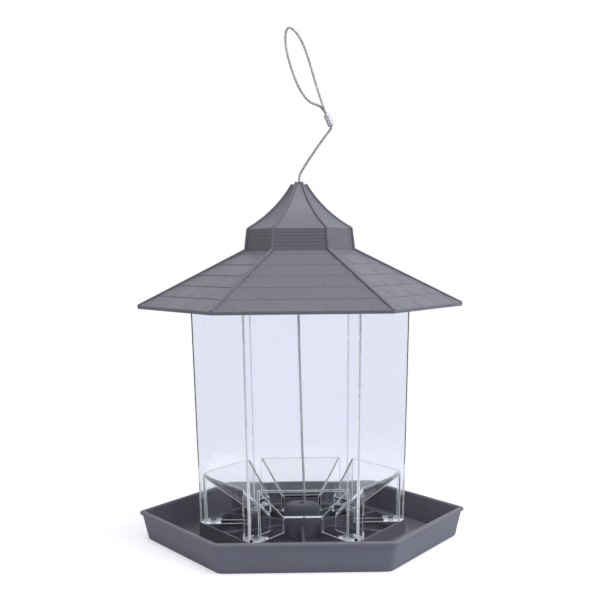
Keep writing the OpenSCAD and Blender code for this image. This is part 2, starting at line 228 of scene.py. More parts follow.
def evened(obj, ease=0.0, clamp=True, crease=math.radians(22)):
    """Plain mesh of the object with its sharp edges rounded and its flat faces shaded flat.
    The rounded edges take the object's last material, and clamp keeps them from meeting."""
    if ease > 0:
        rounding = obj.modifiers.new("rounding", "BEVEL")
        rounding.width = ease
        rounding.segments = 2
        rounding.limit_method = "ANGLE"
        rounding.angle_limit = crease
        rounding.material = len(obj.data.materials) - 1
        rounding.use_clamp_overlap = clamp
    even = obj.modifiers.new("even_normals", "WEIGHTED_NORMAL")
    even.weight = 100
    even.keep_sharp = True
    bpy.context.view_layer.update()
    graph = bpy.context.evaluated_depsgraph_get()
    mesh = bpy.data.meshes.new_from_object(obj.evaluated_get(graph), depsgraph=graph)
    old = obj.data
    obj.modifiers.clear()
    obj.data = mesh
    bpy.data.meshes.remove(old)
    return obj


def eased_copy(node, name, ease, *materials, clamp=True, band=2.4 * MM):
    """A copy of a construction piece with its sharp edges rounded, as a moulding has them.
    The rounded edges and the faces narrower than the band take the last material."""
    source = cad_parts[node]
    bm = bmesh.new()
    bm.from_mesh(source.data)
    bm.transform(source.matrix_world)
    bmesh.ops.remove_doubles(bm, verts=bm.verts, dist=2e-5)
    bmesh.ops.dissolve_degenerate(bm, edges=bm.edges, dist=1e-6)
    bmesh.ops.dissolve_limit(bm, angle_limit=math.radians(0.5), verts=bm.verts, edges=bm.edges)
    for face in bm.faces:
        width = face.calc_area() / max(edge.calc_length() for edge in face.edges)
        face.material_index = len(materials) - 1 if width < band else 0
    bmesh.ops.triangulate(bm, faces=[f for f in bm.faces if len(f.verts) > 4])
    mesh = mesh_from(bm, name, outward=False)
    for material in materials:
        mesh.materials.append(material)
    return evened(link(name, mesh), ease, clamp)


def strip(bm, rows, closed=False):
    """Faces between rows of points. closed also joins the last row to the first."""
    made = [[bm.verts.new(p) for p in row] for row in rows]
    count = len(made)
    for i in range(count if closed else count - 1):
        a, b = made[i], made[(i + 1) % count]
        for j in range(len(a) - 1):
            bm.faces.new((a[j], a[j + 1], b[j + 1], b[j]))
    return made


def finished(obj, body, slot, *nodes):
    """Rides on a body and stands for its construction pieces, which it hides. The slot is not
    used.
    """
    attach(obj, body)
    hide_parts(*nodes)
    return obj


# ---------------------------------------------------------------------------------------
# Node helpers
# ---------------------------------------------------------------------------------------

def new_material(name):
    """Material with an empty tree, its output and a Principled shader."""
    material = bpy.data.materials.new(name)
    material.use_nodes = True
    tree = material.node_tree
    tree.nodes.clear()
    output = tree.nodes.new("ShaderNodeOutputMaterial")
    shader = tree.nodes.new("ShaderNodeBsdfPrincipled")
    tree.links.new(shader.outputs["BSDF"], output.inputs["Surface"])
    return material, tree, shader


def node(tree, kind, inputs=None, **settings):
    """Adds a node, sets its attributes, and links or sets its inputs."""
    made = tree.nodes.new(kind)
    for key, value in settings.items():
        setattr(made, key, value)
    for key, value in (inputs or {}).items():
        if isinstance(value, bpy.types.NodeSocket):
            tree.links.new(value, made.inputs[key])
        else:
            made.inputs[key].default_value = value
    return made


def math_node(tree, operation, *values):
    """Adds a Math node and returns its result."""
    made = tree.nodes.new("ShaderNodeMath")
    made.operation = operation
    for i, value in enumerate(values):
        if isinstance(value, bpy.types.NodeSocket):
            tree.links.new(value, made.inputs[i])
        else:
            made.inputs[i].default_value = value
    return made.outputs[0]


def noise(tree, scale, detail=2.0, rough=0.5, stretch=(1, 1, 1)):
    """Noise on object coordinates, in turns for each metre."""
    place = node(tree, "ShaderNodeTexCoord").outputs["Object"]
    mapping = node(tree, "ShaderNodeMapping", {"Vector": place, "Scale": stretch})
    made = node(tree, "ShaderNodeTexNoise", {
        "Vector": mapping.outputs["Vector"], "Scale": scale, "Detail": detail,
        "Roughness": rough})
    return made.outputs["Fac"]


def spread(tree, value, low, high):
    """Maps a 0 to 1 pattern to a range."""
    made = node(tree, "ShaderNodeMapRange", {"Value": value, "From Min": 0.3, "From Max": 0.7,
                                             "To Min": low, "To Max": high})
    return made.outputs["Result"]


def tinted(tree, base, amount, pattern):
    """A colour that a pattern makes a little lighter and darker."""
    low = [c * (1 - amount) for c in base] + [1]
    high = [min(1, c * (1 + amount)) for c in base] + [1]
    mixed = node(tree, "ShaderNodeMix", data_type="RGBA")
    tree.links.new(pattern, mixed.inputs["Factor"])
    mixed.inputs["A"].default_value = low
    mixed.inputs["B"].default_value = high
    return mixed.outputs["Result"]


def bumps(tree, layers):
    """Stacked bumps of (pattern, height in metres, strength)."""
    normal = None
    for pattern, height, strength in layers:
        inputs = {"Height": pattern, "Distance": height, "Strength": strength}
        if normal is not None:
            inputs["Normal"] = normal
        normal = node(tree, "ShaderNodeBump", inputs).outputs["Normal"]
    return normal


# ---------------------------------------------------------------------------------------
# Finishes
# ---------------------------------------------------------------------------------------

def moulded_plastic(finish):
    """Satin slate grey moulding: fine texture, faint flow variation in colour and gloss."""
    material, tree, shader = new_material("moulded_plastic")
    flow = noise(tree, 22, 4, 0.55)
    grain = noise(tree, 2600, 2, 0.6)
    tree.links.new(tinted(tree, finish.plastic, 0.05, flow), shader.inputs["Base Color"])
    tree.links.new(spread(tree, noise(tree, 60, 3), 0.44, 0.54), shader.inputs["Roughness"])
    tree.links.new(bumps(tree, [(flow, 0.0004, 0.08), (grain, 0.00002, 0.2)]),
                   shader.inputs["Normal"])
    shader.inputs["IOR"].default_value = 1.5
    return material


def clear_plastic(finish):
    """Clear moulding: polished, with faint waviness from the mould's flow."""
    material, tree, shader = new_material("hopper_clear")
    flow = noise(tree, 9, 2, 0.5, (1, 1, 0.35))
    haze = noise(tree, 300, 3, 0.6)
    tree.links.new(tinted(tree, finish.clear, 0.008, flow), shader.inputs["Base Color"])
    tree.links.new(spread(tree, haze, 0.0, 0.012), shader.inputs["Roughness"])
    tree.links.new(bumps(tree, [(flow, 0.0004, 0.1)]), shader.inputs["Normal"])
    shader.inputs["Transmission Weight"].default_value = 1.0
    shader.inputs["IOR"].default_value = 1.5
    return material


def clear_edge(finish):
    """Edges of the clear moulding: hazed, with a whitish base that is partly haze and partly a
    painted highlight, and a painted glow from emission, though the part is no lamp.
    """
    material, tree, shader = new_material("hopper_edge_painted_light")
    haze = noise(tree, 120, 3, 0.6)
    # Partly real haze, partly painted highlight: a whitish base with little transmission, so
    # the edges read as bright lines.
    tree.links.new(tinted(tree, (0.93, 0.95, 0.98), 0.02, haze), shader.inputs["Base Color"])
    tree.links.new(spread(tree, haze, 0.22, 0.32), shader.inputs["Roughness"])
    shader.inputs["Transmission Weight"].default_value = 0.2
    # Painted light: an emission glow on the edges, which are no lamp.
    shader.inputs["Emission Color"].default_value = (0.95, 0.97, 1, 1)
    shader.inputs["Emission Strength"].default_value = finish.painted_edge_glow
    shader.inputs["IOR"].default_value = 1.6
    return material


def rope_steel(finish):
    """Bright wire: fine wires within each strand, with painted shade that darkens the grooves
    between strands.
    """
    material, tree, shader = new_material("rope_steel")
    groove = node(tree, "ShaderNodeAttribute", attribute_name="groove").outputs["Fac"]
    wires = noise(tree, 3200, 2, 0.5, (1, 1, 0.3))
    # Painted shade: the base colour falls to 0.42 of the steel in the grooves between strands.
    mixed = node(tree, "ShaderNodeMix", {"Factor": groove}, data_type="RGBA")
    mixed.inputs["A"].default_value = [*finish.steel, 1]
    mixed.inputs["B"].default_value = [c * 0.42 for c in finish.steel] + [1]
    tree.links.new(mixed.outputs["Result"], shader.inputs["Base Color"])
    tree.links.new(spread(tree, wires, 0.28, 0.5), shader.inputs["Roughness"])
    tree.links.new(bumps(tree, [(wires, 0.00008, 0.5)]), shader.inputs["Normal"])
    shader.inputs["Metallic"].default_value = 1.0
    return material


def pressed_metal(name, base, low, high):
    """Satin pressed metal with draw marks along its length."""
    material, tree, shader = new_material(name)
    marks = noise(tree, 900, 3, 0.6, (1, 1, 0.12))
    tree.links.new(tinted(tree, base, 0.08, marks), shader.inputs["Base Color"])
    tree.links.new(spread(tree, marks, low, high), shader.inputs["Roughness"])
    tree.links.new(bumps(tree, [(marks, 0.00003, 0.15)]), shader.inputs["Normal"])
    shader.inputs["Metallic"].default_value = 1.0
    return material


def finish_of(name, maker, *values):
    """The material of that name, made the first time it is asked for."""
    return bpy.data.materials.get(name) or maker(*values)


# ---------------------------------------------------------------------------------------
# Geometry Nodes
# ---------------------------------------------------------------------------------------

def new_tree(name, sockets):
    """Geometry tree with a geometry input and output and the named inputs."""
    tree = bpy.data.node_groups.new(name, "GeometryNodeTree")
    face = tree.interface
    face.new_socket("Geometry", in_out="INPUT", socket_type="NodeSocketGeometry")
    for label, kind in sockets:
        face.new_socket(label, in_out="INPUT", socket_type=kind)
    face.new_socket("Geometry", in_out="OUTPUT", socket_type="NodeSocketGeometry")
    return tree, tree.nodes.new("NodeGroupInput"), tree.nodes.new("NodeGroupOutput")


def baked(obj, tree, values):
    """Runs the tree on the object with the values and keeps the result as a plain mesh."""
    modifier = obj.modifiers.new("build", "NODES")
    modifier.node_group = tree
    for item in tree.interface.items_tree:
        if item.in_out == "INPUT" and item.name in values:
            modifier[item.identifier] = values[item.name]
    bpy.context.view_layer.update()
    graph = bpy.context.evaluated_depsgraph_get()
    mesh = bpy.data.meshes.new_from_object(obj.evaluated_get(graph), depsgraph=graph)
    made = link(obj.name + "_built", mesh)
    name, old = obj.name, obj.data
    bpy.data.objects.remove(obj)
    if isinstance(old, bpy.types.Curve):
        bpy.data.curves.remove(old)
    elif isinstance(old, bpy.types.Mesh):
        bpy.data.meshes.remove(old)
    made.name = name
    return made


def repeat_tree():
    """Repeats a sector round the vertical axis and welds its seams."""
    tree, start, end = new_tree("repeat_round_axis", [
        ("Count", "NodeSocketInt"), ("Weld Distance", "NodeSocketFloat"),
        ("Material", "NodeSocketMaterial")])
    points = node(tree, "GeometryNodePoints", {"Count": start.outputs["Count"]})
    index = node(tree, "GeometryNodeInputIndex").outputs["Index"]
    turn = math_node(tree, "DIVIDE", 2 * math.pi, start.outputs["Count"])
    angle = math_node(tree, "MULTIPLY", index, turn)
    spin = node(tree, "ShaderNodeCombineXYZ", {"Z": angle}).outputs["Vector"]
    copies = node(tree, "GeometryNodeInstanceOnPoints", {
        "Points": points.outputs["Points"], "Instance": start.outputs["Geometry"],
        "Rotation": spin})
    solid = node(tree, "GeometryNodeRealizeInstances",
                 {"Geometry": copies.outputs["Instances"]})
    welded = node(tree, "GeometryNodeMergeByDistance", {
        "Geometry": solid.outputs["Geometry"], "Distance": start.outputs["Weld Distance"]})
    painted = node(tree, "GeometryNodeSetMaterial", {
        "Geometry": welded.outputs["Geometry"], "Material": start.outputs["Material"]})
    tree.links.new(painted.outputs["Geometry"], end.inputs["Geometry"])
    return tree


def rope_tree():
    """Sweeps a lobed section along a curve and twists it into laid strands."""
    tree, start, end = new_tree("laid_rope", [
        ("Radius", "NodeSocketFloat"), ("Strands", "NodeSocketInt"), ("Lay", "NodeSocketFloat"),
        ("Ring Step", "NodeSocketFloat"), ("Material", "NodeSocketMaterial")])
    points_per_strand = 6
    lobe_depth = 0.26
    line = node(tree, "GeometryNodeResampleCurve", {
        "Curve": start.outputs["Geometry"], "Length": start.outputs["Ring Step"]},
        mode="LENGTH")
    along = node(tree, "GeometryNodeSplineParameter").outputs["Length"]
    turns = math_node(tree, "DIVIDE", along, start.outputs["Lay"])
    tilt = math_node(tree, "MULTIPLY", turns, 2 * math.pi)
    twisted = node(tree, "GeometryNodeSetCurveTilt",
                   {"Curve": line.outputs["Curve"], "Tilt": tilt})
    resolution = math_node(tree, "MULTIPLY", start.outputs["Strands"], points_per_strand)
    circle = node(tree, "GeometryNodeCurvePrimitiveCircle",
                  {"Resolution": resolution, "Radius": start.outputs["Radius"]})
    index = node(tree, "GeometryNodeInputIndex").outputs["Index"]
    phase = math_node(tree, "MULTIPLY", index, math.pi / points_per_strand)
    groove = math_node(tree, "SUBTRACT", 1.0,
                       math_node(tree, "ABSOLUTE", math_node(tree, "SINE", phase)))
    deep = math_node(tree, "POWER", groove, 2.0)
    share = math_node(tree, "SUBTRACT", 1.0, math_node(tree, "MULTIPLY", deep, lobe_depth))
    place = node(tree, "GeometryNodeInputPosition").outputs["Position"]
    scaled = node(tree, "ShaderNodeVectorMath", {0: place, "Scale": share}, operation="SCALE")
    lobed = node(tree, "GeometryNodeSetPosition", {
        "Geometry": circle.outputs["Curve"], "Position": scaled.outputs["Vector"]})
    # Groove depth, which the rope material uses to paint shade in the grooves.
    marked = node(tree, "GeometryNodeStoreNamedAttribute", {
        "Geometry": lobed.outputs["Geometry"], "Name": "groove", "Value": deep},
        data_type="FLOAT", domain="POINT")
    swept = node(tree, "GeometryNodeCurveToMesh", {
        "Curve": twisted.outputs["Curve"], "Profile Curve": marked.outputs["Geometry"],
        "Fill Caps": True})
    smooth = node(tree, "GeometryNodeSetShadeSmooth", {"Geometry": swept.outputs["Mesh"]})
    solid = node(tree, "GeometryNodeRealizeInstances", {"Geometry": smooth.outputs["Geometry"]})
    painted = node(tree, "GeometryNodeSetMaterial", {
        "Geometry": solid.outputs["Geometry"], "Material": start.outputs["Material"]})
    tree.links.new(painted.outputs["Geometry"], end.inputs["Geometry"])
    return tree


def tree_of(name, maker):
    """The node tree of that name, made the first time it is asked for."""
    return bpy.data.node_groups.get(name) or maker()


# ---------------------------------------------------------------------------------------
# Rope
# ---------------------------------------------------------------------------------------

def smooth_route(points, steps):
    """Smooth curve through the points, with the given steps between each two."""
    out = []
    last = len(points) - 1
    for i in range(last):
        a, b, c, d = (points[max(i - 1, 0)], points[i], points[i + 1], points[min(i + 2, last)])
        for j in range(steps):
            t = j / steps
            out.append(0.5 * (2 * b + (c - a) * t + (2 * a - 5 * b + 4 * c - d) * t * t
                              + (3 * b - a - 3 * c + d) * t * t * t))
    return out + [points[last]]


def laid_rope(name, path, rope, material):
    """Wire rope swept along the path."""
    curve = bpy.data.curves.new(name, "CURVE")
    curve.dimensions = "3D"
    spline = curve.splines.new("POLY")
    spline.points.add(len(path) - 1)
    for point, place in zip(spline.points, path):
        point.co = (*place, 1)
    return baked(link(name, curve), tree_of("laid_rope", rope_tree), {
        "Radius": rope.diameter / 2, "Strands": rope.strands, "Lay": rope.lay,
        "Ring Step": rope.ring_step, "Material": material})


class FEEDER_OT_rope(bpy.types.Operator):
    """Makes the wire rope inside the feeder and its free end with the hanging loop"""
    bl_idname = "feeder.rope"
    bl_label = "Wire rope"

    def execute(self, context):
        rope = context.scene.feeder_rope
        steel = finish_of("rope_steel", rope_steel, context.scene.feeder_finish)
        inside = smooth_route([Vector((x * MM, 0, z * MM)) for x, z in INSIDE_ROUTE], 6)
        outside = smooth_route(
            [Vector((x * MM, y * MM, ROPE_TOP + z * MM)) for x, y, z in OUTSIDE_ROUTE], 6)
        lower = laid_rope("rope_in_hopper", inside, rope, steel)
        upper = laid_rope("rope_with_loop", outside, rope, steel)
        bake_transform(lower)
        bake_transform(upper)
        for piece, stood_for in ((lower, "rope_inside"), (upper, "rope_outside")):
            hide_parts(stood_for)
        sleeve = bpy.data.objects.get("loop_sleeve")
        if sleeve is None:
            raise RuntimeError("make the fittings first")
        return {"FINISHED"}


# ---------------------------------------------------------------------------------------
# Fittings
# ---------------------------------------------------------------------------------------

def oval(width, depth, count=40):
    """Outline of an oval with flat long sides, as (x, y)."""
    straight = (depth - width) / 2
    points = []
    for i in range(count):
        a = 2 * math.pi * (i + 0.5) / count
        side = straight if math.sin(a) > 0 else -straight
        points.append((width / 2 * math.cos(a), width / 2 * math.sin(a) + side))
    return points


def oval_sleeve(name, rope, material):
    """Pressed oval sleeve round two strands, with eased ends and shallow press marks."""
    axis = FERRULE_HIGH - FERRULE_LOW
    tall = axis.length
    ease = 0.45 * MM
    press = 0.03 * MM
    hole_w = rope.diameter + 0.1 * MM
    hole_d = rope.diameter * 2 + 0.3 * MM
    corner = []
    for i in range(4):
        a = math.pi / 2 * i / 3
        corner.append((ease * (1 - math.cos(a)), ease * (1 - math.sin(a))))
    steps = 14
    middle = [(ease + (tall - 2 * ease) * i / steps,
               press * (1 - math.cos(4 * math.pi * i / steps)) / 2)
              for i in range(1, steps)]
    outer = corner + middle + [(tall - z, inset) for z, inset in reversed(corner)]
    rows = []
    for height, inset in outer:
        rows.append([(x, y, height) for x, y in
                     oval(rope.ferrule_width - 2 * inset, rope.ferrule_depth - 2 * inset)])
    for height in (tall, tall - 0.3 * MM, 0.3 * MM, 0):
        flare = 0.15 * MM if height in (0, tall) else 0
        rows.append([(x, y, height) for x, y in oval(hole_w + flare, hole_d + flare)])
    bm = bmesh.new()
    strip(bm, [row + [row[0]] for row in rows], closed=True)
    lean = math.atan2(axis.x, axis.z)
    bm.transform(Matrix.Translation(FERRULE_LOW) @ Matrix.Rotation(lean, 4, "Y"))
    mesh = mesh_from(bm, name)
    mesh.materials.append(material)
    return link(name, mesh)


class FEEDER_OT_fittings(bpy.types.Operator):
    """Makes the sleeve that closes the loop and the stop under the tray's boss"""
    bl_idname = "feeder.fittings"
    bl_label = "Sleeves and washer"

    def execute(self, context):
        rope = context.scene.feeder_rope
        finish = context.scene.feeder_finish
        sleeve_metal = finish_of("sleeve_aluminium", pressed_metal, "sleeve_aluminium",
                                 finish.aluminium, 0.46, 0.6)
        zinc = finish_of("zinc_plate", pressed_metal, "zinc_plate", finish.zinc, 0.3, 0.5)
        sleeve = oval_sleeve("loop_sleeve", rope, sleeve_metal)
        finished(sleeve, "feeder", "pressed_aluminium", "loop_ferrule")
        stop = eased_copy("stop_ferrule", "stop_sleeve", 0.2 * MM, sleeve_metal)
        finished(stop, "feeder", "pressed_aluminium", "stop_ferrule")
        washer = eased_copy("stop_washer", "washer_under_boss", 0.1 * MM, zinc)
        finished(washer, "feeder", "zinc_plated_steel", "stop_washer")
        return {"FINISHED"}


# ---------------------------------------------------------------------------------------
# Tray and hopper
# ---------------------------------------------------------------------------------------

class FEEDER_OT_tray(bpy.types.Operator):
    """Makes the six-sided tray with its seed ring, ribs, corner seats and boss"""
    bl_idname = "feeder.tray"
    bl_label = "Tray"

    def execute(self, context):
        finish = context.scene.feeder_finish
        tray = eased_copy("tray", "seed_tray", finish.edge_ease,
                          finish_of("moulded_plastic", moulded_plastic, finish))
        finished(tray, "feeder", "grey_plastic", "tray")
        return {"FINISHED"}


class FEEDER_OT_hopper(bpy.types.Operator):
    """Makes the clear hopper with its six feeding alcoves"""
    bl_idname = "feeder.hopper"
    bl_label = "Hopper"

    def execute(self, context):
        finish = context.scene.feeder_finish
        # The rounded edges and narrow faces take the edge finish, which paints a highlight and
        # a glow on them.
        hopper = eased_copy("hopper", "clear_hopper", finish.clear_ease,
                            finish_of("hopper_clear", clear_plastic, finish),
                            finish_of("hopper_edge_painted_light", clear_edge, finish), clamp=False)
        finished(hopper, "feeder", "clear_plastic", "hopper")
        return {"FINISHED"}


# ---------------------------------------------------------------------------------------
# Roof
# ---------------------------------------------------------------------------------------

class RoofShape:
    """Lines of the roof as (corner radius, height), worked out from its settings."""

    def __init__(self, s):
        self.s = s
        self.eave_r = ROOF_HIGH[0]
        self.eave_z = ROOF_LOW[2]
        self.eave_top = self.eave_z + s.eave_lip
        self.cupola_z = self.slope_z(s.cupola_radius)
        self.spire_z = self.cupola_z + s.cupola_height
        self.spire_r = s.cupola_top - 0.6 * MM
        self.top_z = self.spire_z + s.spire_height
        self.flat = math.cos(math.pi / SIDES)

    def slope_z(self, r):
        """Height of the main slope at a corner radius."""
        return self.eave_top + self.s.slope * (self.eave_r - r)

    def spire_arc(self, out, count=14):
        """Points of the spire's hollow curve from foot to top, moved outwards."""
        a = Vector((self.spire_r, self.spire_z))
        b = Vector((self.s.spire_top, self.top_z))
        half = (b - a).length / 2
        across = Vector((b.y - a.y, a.x - b.x)) / (2 * half)
        centre = (a + b) / 2 + across * math.sqrt(self.s.spire_curve ** 2 - half ** 2)
        start = math.atan2(a.y - centre.y, a.x - centre.x)
        turn = 2 * math.asin(half / self.s.spire_curve)
        r = self.s.spire_curve - out
        return [(centre.x + r * math.cos(start - turn * i / count),
                 centre.y + r * math.sin(start - turn * i / count)) for i in range(count + 1)]

    def siding(self):
        """Shallow boards round the cupola, each leaning out from a line at its foot."""
        s = self.s
        foot, head = self.cupola_z + 0.6 * MM, self.spire_z - 1.2 * MM
        out = []
        for i in range(s.boards):
            for share, drop in ((0, 1), (0.06, 0), (0.94, 1)):
                z = foot + (head - foot) * (i + share) / s.boards
                t = (z - self.cupola_z) / (self.spire_z - 0.6 * MM - self.cupola_z)
                r = s.cupola_radius + (s.cupola_top - s.cupola_radius) * t
                out.append((r - s.board_step * drop, z))
        return out

    def rows(self):
        """The shell's whole section, outside up and inside down. Each row is (radius, height,
        sunk height in a joint, course), with course None where there are no joints."""
        s = self.s
        step = s.course_step
        run = (self.eave_r - s.cupola_radius) / (s.courses + 0.35)
        rows = [(self.eave_r - 0.3 * MM, self.eave_z, 0, None),
                (self.eave_r, self.eave_z + 0.3 * MM, 0, None)]
        for k in range(s.courses + 1):
            low = self.eave_r - run * k
            high = max(s.cupola_radius, low - run)
            for share, drop, joint in ((0, step, True), (0.004, 0.3 * step, True),
                                       (0.02, 0, True), (0.52, 0.52 * step, True),
                                       (0.56, 0.56 * step, False)):
                r = low - run * share
                if r < high:
                    continue
                z = self.slope_z(r) - drop
                rows.append((r, z, self.slope_z(r) - step if joint else z, k))
            rows.append((high, self.slope_z(high) - step, self.slope_z(high) - step, None))
        rows.append((s.cupola_radius, self.cupola_z + 0.2 * MM, 0, None))
        rows += [(r, z, 0, None) for r, z in self.siding()]
        rows.append((s.cupola_top, self.spire_z - 0.6 * MM, 0, None))
        spire_steps, line_step = 28, 6
        for i, (r, z) in enumerate(self.spire_arc(0, spire_steps)):
            if i == line_step:
                rows.append((r, z - 0.05 * MM, 0, None))
            sunk = s.board_step if i >= line_step and z < self.top_z - 1 * MM else 0
            rows.append((r - sunk, z, 0, None))
        rows.append((s.collar_hole + 0.2 * MM, self.top_z, 0, None))
        wall = s.wall / self.flat
        inner = [p for p in self.spire_arc(-wall) if p[0] > s.collar_hole + 1.5 * MM]
        rows.append((s.collar_hole + 0.2 * MM, inner[-1][1], 0, None))
        rows += [(r, z, 0, None) for r, z in reversed(inner[1:])]
        drop = s.wall * math.sqrt(1 + (s.slope / self.flat) ** 2)
        rows.append((s.cupola_top - wall, self.spire_z - s.wall, 0, None))
        for r in (s.cupola_radius - wall, self.eave_r - wall):
            rows.append((r, self.slope_z(r) - drop, 0, None))
        rows.append((self.eave_r - wall, self.eave_z + 0.2 * MM, 0, None))
        rows.append((self.eave_r - wall - 0.2 * MM, self.eave_z, 0, None))
        return rows


def roof_sector(shape):
    """One side of the roof: a closed section with shingle joints let into its slope."""
    s = shape.s
    half_tile = s.tile_width / 2
    wall = 0.15 * MM
    clear_of_hip = 0.8 * MM
    reach = math.ceil(shape.eave_r / 2 / half_tile) + 1
    columns = [(-shape.eave_r, None, False), (shape.eave_r, None, False)]
    for j in range(-reach, reach + 1):
        for side in (-1, 1):
            for out, sunk in ((s.joint_width / 2, True), (s.joint_width / 2 + wall, False)):
                columns.append((j * half_tile + side * out, j, sunk))
    columns.sort(key=lambda c: c[0])
    rows = []
    for r, z, joint_z, course in shape.rows():
        row = []
        for x, j, sunk in columns:
            inside = abs(x) < r / 2 - clear_of_hip
            cut = sunk and course is not None and inside and (j + course) % 2 == 1
            row.append((r * shape.flat, max(-r / 2, min(r / 2, x)), joint_z if cut else z))
        rows.append(row)
    bm = bmesh.new()
    strip(bm, rows, closed=True)
    bm.transform(Matrix.Rotation(SECTOR / 2, 4, "Z"))
    bmesh.ops.remove_doubles(bm, verts=bm.verts, dist=1e-6)
    bmesh.ops.dissolve_degenerate(bm, edges=bm.edges, dist=1e-7)
    mesh = bpy.data.meshes.new("roof_sector")
    bm.to_mesh(mesh)
    bm.free()
    return mesh


def hip_rib(shape):
    """Rib along one corner, from the eaves over the cupola to the top of the spire."""
    s = shape.s
    line = [(shape.eave_r - 0.1 * MM, shape.slope_z(shape.eave_r)),
            (s.cupola_radius + 0.6 * MM, shape.slope_z(s.cupola_radius)),
            (s.cupola_radius + 0.1 * MM, shape.cupola_z + 0.6 * MM),
            (s.cupola_top, shape.spire_z - 0.6 * MM)] + shape.spire_arc(0)
    sink = 1.2 * MM
    half = s.hip_width / 2
    section = [(-half, -sink), (-half, 0.45 * s.hip_height), (-0.8 * half, 0.85 * s.hip_height),
               (-0.45 * half, s.hip_height), (0.45 * half, s.hip_height),
               (0.8 * half, 0.85 * s.hip_height), (half, 0.45 * s.hip_height), (half, -sink)]
    rows = []
    for i, (r, z) in enumerate(line):
        a = Vector(line[max(i - 1, 0)])
        b = Vector(line[min(i + 1, len(line) - 1)])
        along = (b - a).normalized()
        out = Vector((along.y, -along.x))
        rows.append([(r + out.x * h, y, z + out.y * h) for y, h in section])
    low = [(shape.eave_r - 0.1 * MM, y, max(z, shape.eave_z + 0.3 * MM)) for _, y, z in rows[0]]
    rows[0] = low
    bm = bmesh.new()
    made = strip(bm, [row + [row[0]] for row in rows])
    for ring in (made[0], made[-1]):
        bm.faces.new(ring[:-1])
    return mesh_from(bm, "hip_rib")


def locating_ribs(shape):
    """The two small plates under one side of the roof that stand on the hopper's rim."""
    flat_rim = HOPPER_HIGH[1]
    wall, gap, deep, drop, thick, apart = (v * MM for v in (1.6, 0.4, 4, 6, 1.6, 15))
    inner = flat_rim - wall - gap
    outer = flat_rim + 0.8 * MM * shape.flat
    rim = HOPPER_HIGH[2]
    shell = shape.s.wall * math.sqrt(1 + (shape.s.slope / shape.flat) ** 2) - 0.6 * MM

    def under(x):
        return shape.slope_z(x / shape.flat) - shell

    outline = [(inner - deep, under(inner - deep)), (inner - deep, rim),
               (inner - deep + 2 * MM, rim - drop), (inner, rim - drop), (inner, rim),
               (outer, rim), (outer, under(outer))]
    bm = bmesh.new()
    for side in (-1, 1):
        rows = [[(x, side * apart + t, z) for x, z in outline] for t in (-thick / 2, thick / 2)]
        made = strip(bm, [row + [row[0]] for row in rows])
        for ring in made:
            bm.faces.new(ring[:-1])
    bm.transform(Matrix.Rotation(SECTOR / 2, 4, "Z"))
    return mesh_from(bm, "locating_ribs")


def collar_lug(shape):
    """One sixth of the notched collar that the rope leaves by."""
    s = shape.s
    notch = math.radians(13)
    low, sill, top = shape.top_z - 1 * MM, ROPE_TOP - 1 * MM, ROPE_TOP
    ease = 0.15 * MM
    steps = 8
    rows = []
    for i in range(steps + 1):
        a = SECTOR * i / steps
        rise = sill if a < notch - 1e-6 or a > SECTOR - notch + 1e-6 else top
        inner, outer = s.collar_hole, s.collar_radius
        rows.append([(r * math.cos(a), r * math.sin(a), z) for r, z in (
            (inner, low), (outer, low), (outer, rise - ease), (outer - ease, rise),
            (inner + ease, rise), (inner, rise - ease), (inner, low))])
    bm = bmesh.new()
    strip(bm, rows)
    bmesh.ops.remove_doubles(bm, verts=bm.verts, dist=1e-7)
    mesh = bpy.data.meshes.new("collar_lug")
    bm.to_mesh(mesh)
    bm.free()
    return mesh


def repeated(name, mesh, material):
    """Six copies of a sector's mesh round the axis, welded, as one object."""
    obj = baked(link(name, mesh), tree_of("repeat_round_axis", repeat_tree),
                {"Count": SIDES, "Weld Distance": 1e-6, "Material": material})
    bm = bmesh.new()
    bm.from_mesh(obj.data)
    bmesh.ops.recalc_face_normals(bm, faces=bm.faces)
    bm.to_mesh(obj.data)
    bm.free()
    shade(obj.data)
    return evened(obj)


class FEEDER_OT_roof(bpy.types.Operator):
    """Makes the shingled roof with its hips, cupola, spire and collar"""
    bl_idname = "feeder.roof"
    bl_label = "Roof"

    def execute(self, context):
        shape = RoofShape(context.scene.feeder_roof)
        plastic = finish_of("moulded_plastic", moulded_plastic, context.scene.feeder_finish)
        for name, mesh in (("shingled_roof", roof_sector(shape)), ("roof_hips", hip_rib(shape)),
                           ("roof_locating_ribs", locating_ribs(shape)),
                           ("roof_collar", collar_lug(shape))):
            finished(repeated(name, mesh, plastic), "roof", "grey_plastic", "roof")
        return {"FINISHED"}


# ---------------------------------------------------------------------------------------
# Stage
# ---------------------------------------------------------------------------------------

